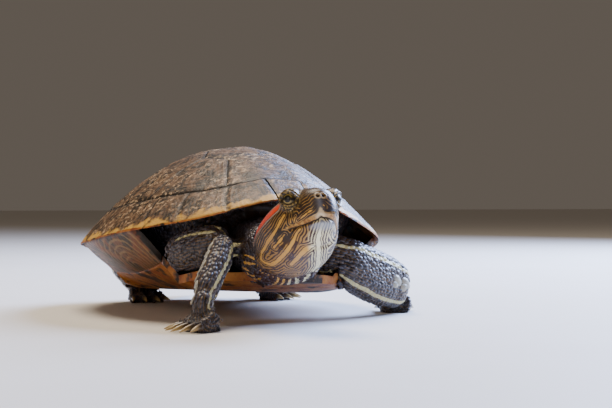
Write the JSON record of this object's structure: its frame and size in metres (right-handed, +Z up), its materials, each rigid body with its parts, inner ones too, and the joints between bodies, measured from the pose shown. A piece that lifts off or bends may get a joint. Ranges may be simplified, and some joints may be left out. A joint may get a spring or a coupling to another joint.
{
  "type": "red-eared slider turtle",
  "caption": "Still, life-size red-eared slider turtle, standing with its head raised, one front leg planted and the other swept back.",
  "frame": {"origin": "on the floor, under the middle of the turtle's box", "axes": "-Y the way the turtle faces, +X its left side, +Z up; the floor is z = 0"},
  "size_m": [0.1364, 0.23, 0.071],
  "materials": {
    "carapace_plates": "worn horn plates, grey-brown with dark blotches, low sheen",
    "plastron_plates": "orange-yellow horn plates with dark brown blotches and growth rings, satin",
    "skin": "scaly skin, dark olive-brown with yellow stripes and a red patch behind each eye, satin",
    "claws": "horn claws, dark at the root and straw-coloured at the tip",
    "eyes": "wet, glossy eye with an olive-gold iris, a dark bar across it and a black pupil"
  },
  "bodies": {
    "root": {"nuchal_plate": "carapace_plates", "marginal_plates_left": "carapace_plates", "marginal_plates_right": "carapace_plates", "vertebral_plate_1": "carapace_plates", "vertebral_plate_2": "carapace_plates", "vertebral_plate_3": "carapace_plates", "vertebral_plate_4": "carapace_plates", "vertebral_plate_5": "carapace_plates", "costal_plate_left_1": "carapace_plates", "costal_plate_right_1": "carapace_plates", "costal_plate_left_2": "carapace_plates", "costal_plate_right_2": "carapace_plates", "costal_plate_left_3": "carapace_plates", "costal_plate_right_3": "carapace_plates", "costal_plate_left_4": "carapace_plates", "costal_plate_right_4": "carapace_plates", "plastron": "plastron_plates", "bridge_left": "plastron_plates", "bridge_right": "plastron_plates", "trunk": "skin", "eye_left": "eyes", "eye_right": "eyes", "lower_jaw": "skin", "head": "skin", "neck": "skin", "tail": "skin", "front_right_claw_1": "claws", "front_right_claw_2": "claws", "front_right_claw_3": "claws", "front_right_claw_4": "claws", "front_right_claw_5": "claws", "front_right_foot": "skin", "front_right_leg": "skin", "front_left_claw_1": "claws", "front_left_claw_2": "claws", "front_left_claw_3": "claws", "front_left_claw_4": "claws", "front_left_claw_5": "claws", "front_left_foot": "skin", "front_left_leg": "skin", "hind_left_claw_1": "claws", "hind_left_claw_2": "claws", "hind_left_claw_3": "claws", "hind_left_claw_4": "claws", "hind_left_foot": "skin", "hind_left_leg": "skin", "hind_right_claw_1": "claws", "hind_right_claw_2": "claws", "hind_right_claw_3": "claws", "hind_right_claw_4": "claws", "hind_right_foot": "skin", "hind_right_leg": "skin"}
  },
  "joints": []
}
